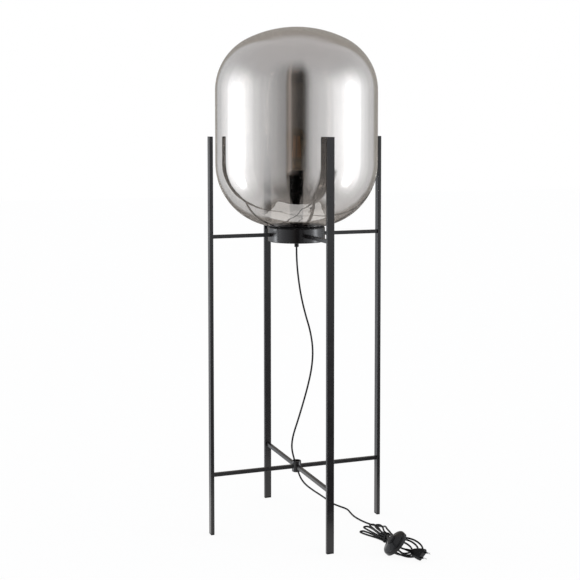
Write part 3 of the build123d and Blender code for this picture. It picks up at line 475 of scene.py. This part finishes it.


# ---------------------------------------------------------------- floor and studio light

# Round the lamp the studio has two broad soft panels beside it, a backdrop, a pale ceiling, a dark
# gap on the camera's side and a dark floor, on which a white sheet lies under the lamp.  Azimuths
# are in degrees from the camera's side and elevations in degrees.  A glow is a list of azimuths
# with their brightness, and a pair is where a soft edge starts and where it ends.
PANEL_AXIS = -5.5
PANEL_GLOW = ((0, 0.0), (28, 0.06), (42, 0.25), (54, 0.5), (61, 0.82), (68, 0.98), (75, 1.25),
              (84, 1.6), (95, 1.5), (104, 1.3), (110, 0.76), (120, 0.48), (130, 0.15), (140, 0.06),
              (150, 0.0), (180, 0.0))
PANEL_TOP, PANEL_BOTTOM = (-4, 42), (-34, -70)
LAMP_GLOW = ((0, 0.0), (76, 0.0), (81, 3.2), (86, 8.0), (91, 6.0), (97, 0.3), (100, 0.0), (180, 0.0))
LAMP_TOP, LAMP_BOTTOM = (-3, 12), (-18, -36)
ROOM_LEVEL, ROOM_TINT = 0.75, (0.95, 0.98, 1.02)
CEILING, CEILING_COLOUR = (12, 70), (0.68, 0.68, 0.7)
BACK_EDGE, BACK_COLOUR = (138, 152), (0.38, 0.36, 0.33)
BACK_TOP, BACK_TOP_COLOUR = (12, 40), (0.38, 0.355, 0.325)
BACK_CEILING = (40, 70)
BACK_LOW, BACK_LOW_COLOUR = (-3, -20), (0.07, 0.06, 0.05)
LOW_ROOM, LOW_GLOW = (-14, -52), ((0, 0.1), (28, 0.14), (42, 0.5), (60, 0.85), (100, 1.0), (180, 0.4))
FLOOR_DROP, FLOOR_COLOUR = (-52, -66), (0.16, 0.15, 0.145)
GAP_GLOW = ((-80, 1.0), (-62, 0.89), (-48, 0.88), (-37, 0.85), (-29, 0.74), (-25, 0.63), (-21, 0.57),
            (-17, 0.55), (-13, 0.36), (-9.2, 0.56), (-5.2, 0.17), (-1.3, 0.09), (2.6, 0.03), (6.5, 0.0),
            (10.5, 0.09), (14.4, 0.42), (18.4, 0.8), (24, 1.0))
GAP_TOP = (24, 64)
GAP_TINT, GAP_TINT_MIDDLE, GAP_TINT_WIDTH = (1.0, 0.87, 0.78), -6, (6, 10)
GAP_FOOT_MIDDLE, GAP_FOOT_WIDTH, GAP_FOOT_TOP = -2, (10, 15), (-10, -22)
SHADE_MIDDLE, SHADE_WIDTH, SHADE_TOP, SHADE_LEVEL = 45, (8, 15), (-6, -13), 0.02
WHITE_EDGE = (110, 130)


def fade(tree, value, full, none):
    """1 up to full and 0 from none on, smooth between."""
    return ranged(tree, value, (full, none), (1, 0), "SMOOTHSTEP")


def glow(tree, azimuth, stops, lowest=0):
    """Brightness by azimuth, from its stops between lowest and 180 degrees."""
    brightest = max(level for angle, level in stops)
    ramp = add_node(tree, "ShaderNodeValToRGB")
    ramp.color_ramp.interpolation = "EASE"
    elements = ramp.color_ramp.elements
    while len(elements) < len(stops):
        elements.new(0.5)
    for element, (angle, level) in zip(elements, stops):
        element.position = (angle - lowest) / (180 - lowest)
        element.color = (level / brightest,) * 3 + (1,)
    along = maths(tree, "DIVIDE", maths(tree, "SUBTRACT", azimuth, lowest), 180 - lowest)
    link(tree, along, ramp.inputs["Fac"])
    return maths(tree, "MULTIPLY", ramp.outputs["Color"], brightest)


def window(tree, elevation, level, top, bottom):
    """A brightness kept between soft edges above and below."""
    kept = maths(tree, "MULTIPLY", fade(tree, elevation, *top), fade(tree, elevation, *bottom))
    return maths(tree, "MULTIPLY", level, kept)


def beside(tree, azimuth, middle, width):
    """1 within an azimuth band, with soft sides."""
    return fade(tree, maths(tree, "ABSOLUTE", maths(tree, "SUBTRACT", azimuth, middle)), *width)


def below(tree, elevation, top, factor):
    """A factor that takes effect only below a soft edge."""
    return maths(tree, "MULTIPLY", factor, maths(tree, "SUBTRACT", 1, fade(tree, elevation, *top)))


def tinted(tree, level):
    """The room's colour at a brightness."""
    room = add_node(tree, "ShaderNodeVectorMath", operation="SCALE")
    room.inputs[0].default_value = ROOM_TINT
    link(tree, level, room.inputs["Scale"])
    return room.outputs["Vector"]


def product(tree, first, second):
    """One colour times another."""
    times = add_node(tree, "ShaderNodeVectorMath", operation="MULTIPLY")
    link(tree, first, times.inputs[0])
    link(tree, second, times.inputs[1])
    return times.outputs["Vector"]


def add_studio():
    """White for the camera, and the soft studio for everything that the lamp reflects."""
    world = bpy.data.worlds.new("studio")
    bpy.context.scene.world = world
    world.use_nodes = True
    world.node_tree.nodes.clear()
    way = add_node(world, "ShaderNodeTexCoord")
    split = add_node(world, "ShaderNodeSeparateXYZ")
    link(world, way.outputs["Generated"], split.inputs["Vector"])
    east, north, up = split.outputs
    round_way = maths(world, "ARCTAN2", east, maths(world, "MULTIPLY", north, -1))
    azimuth = maths(world, "ADD", maths(world, "MULTIPLY", round_way, degrees(1)), CAMERA_AZIMUTH)
    azimuth = maths(world, "WRAP", azimuth, 180, -180)
    elevation = maths(world, "MULTIPLY", maths(world, "ARCSINE", up), degrees(1))
    off_axis = maths(world, "ABSOLUTE", maths(world, "SUBTRACT", azimuth, PANEL_AXIS))

    panels = window(world, elevation, glow(world, off_axis, PANEL_GLOW), PANEL_TOP, PANEL_BOTTOM)
    lamps = window(world, elevation, glow(world, off_axis, LAMP_GLOW), LAMP_TOP, LAMP_BOTTOM)
    level = maths(world, "ADD", maths(world, "ADD", panels, lamps), ROOM_LEVEL)
    shade = blended(world, fade(world, elevation, *CEILING), CEILING_COLOUR, tinted(world, level))
    low = tinted(world, glow(world, off_axis, LOW_GLOW))
    shade = blended(world, fade(world, elevation, *LOW_ROOM), low, shade)
    tan = beside(world, azimuth, GAP_TINT_MIDDLE, GAP_TINT_WIDTH)
    gap = product(world, glow(world, azimuth, GAP_GLOW, -180), blended(world, tan, (1, 1, 1), GAP_TINT))
    shade = product(world, shade, blended(world, fade(world, elevation, *GAP_TOP), (1, 1, 1), gap))
    shaded = below(world, elevation, SHADE_TOP, beside(world, azimuth, SHADE_MIDDLE, SHADE_WIDTH))
    shade = blended(world, shaded, shade, (SHADE_LEVEL,) * 3)
    shade = blended(world, fade(world, elevation, *FLOOR_DROP), FLOOR_COLOUR, shade)
    foot = below(world, elevation, GAP_FOOT_TOP, beside(world, azimuth, GAP_FOOT_MIDDLE, GAP_FOOT_WIDTH))
    shade = blended(world, foot, shade, (0, 0, 0))
    back = blended(world, fade(world, elevation, *BACK_TOP), BACK_TOP_COLOUR, BACK_COLOUR)
    back = blended(world, fade(world, elevation, *BACK_CEILING), CEILING_COLOUR, back)
    back = blended(world, fade(world, elevation, *BACK_LOW), BACK_LOW_COLOUR, back)
    shade = blended(world, fade(world, off_axis, *BACK_EDGE), back, shade)

    shown = add_node(world, "ShaderNodeLightPath")
    behind = maths(world, "SUBTRACT", 1, fade(world, off_axis, *WHITE_EDGE))
    behind = maths(world, "MULTIPLY", behind, shown.outputs["Is Transmission Ray"])
    shade = blended(world, behind, shade, (1, 1, 1))

    studio = add_node(world, "ShaderNodeBackground")
    link(world, shade, studio.inputs["Color"])
    white = add_node(world, "ShaderNodeBackground")
    white.inputs["Color"].default_value = (1, 1, 1, 1)
    mix = mixed_shader(world, shown.outputs["Is Camera Ray"], studio.outputs[0], white.outputs[0])
    output = add_node(world, "ShaderNodeOutputWorld")
    link(world, mix, output.inputs["Surface"])


FLOOR_HALF, FLOOR_GREY, FLOOR_ROUGHNESS, FLOOR_SHINE = 15.0, 0.85, 0.9, 0.1
FLOOR_WHITE, FLOOR_WHITE_SHARE = 1.06, 0.86
SHEET_HALF, SHEET_DEPTH, SHEET_GLOW = 0.44, 0.0005, 1.1


def level_square(name, half, material):
    """Level square about the origin."""
    mesh = bpy.data.meshes.new(name)
    corners = [(-1, -1), (1, -1), (1, 1), (-1, 1)]
    mesh.from_pydata([(x * half, y * half, 0) for x, y in corners], [], [(0, 1, 2, 3)])
    mesh.materials.append(material)
    return linked(bpy.data.objects.new(name, mesh))


def add_floor():
    """Plain pale floor, which the camera sees run out into the white backdrop."""
    material = new_material("pale_floor", FLOOR_ROUGHNESS, Base_Color=(*[FLOOR_GREY] * 3, 1),
                            Specular_IOR_Level=FLOOR_SHINE)
    white = add_node(material, "ShaderNodeEmission")
    white.inputs["Strength"].default_value = FLOOR_WHITE
    shown = add_node(material, "ShaderNodeLightPath")
    share = maths(material, "MULTIPLY", shown.outputs["Is Camera Ray"], FLOOR_WHITE_SHARE)
    mix = mixed_shader(material, share, principled(material).outputs["BSDF"], white.outputs["Emission"])
    link(material, mix, material.node_tree.nodes["Material Output"].inputs["Surface"])
    floor = level_square("floor", FLOOR_HALF, material)
    floor.visible_glossy = False
    floor.visible_transmission = False


def add_sheet():
    """White sheet under the lamp's feet, seen only in what the lamp reflects."""
    material = bpy.data.materials.new("white_sheet")
    material.use_nodes = True
    material.node_tree.nodes.clear()
    white = add_node(material, "ShaderNodeEmission")
    white.inputs["Strength"].default_value = SHEET_GLOW
    output = add_node(material, "ShaderNodeOutputMaterial")
    link(material, white.outputs["Emission"], output.inputs["Surface"])
    sheet = level_square("sheet", SHEET_HALF, material)
    sheet.location.z = -SHEET_DEPTH
    sheet.rotation_euler.z = radians(-CAMERA_AZIMUTH - PANEL_AXIS)
    sheet.visible_camera = False
    sheet.visible_diffuse = False
    sheet.visible_transmission = False


add_studio()
add_floor()
add_sheet()
bpy.context.scene.view_settings.view_transform = "Standard"
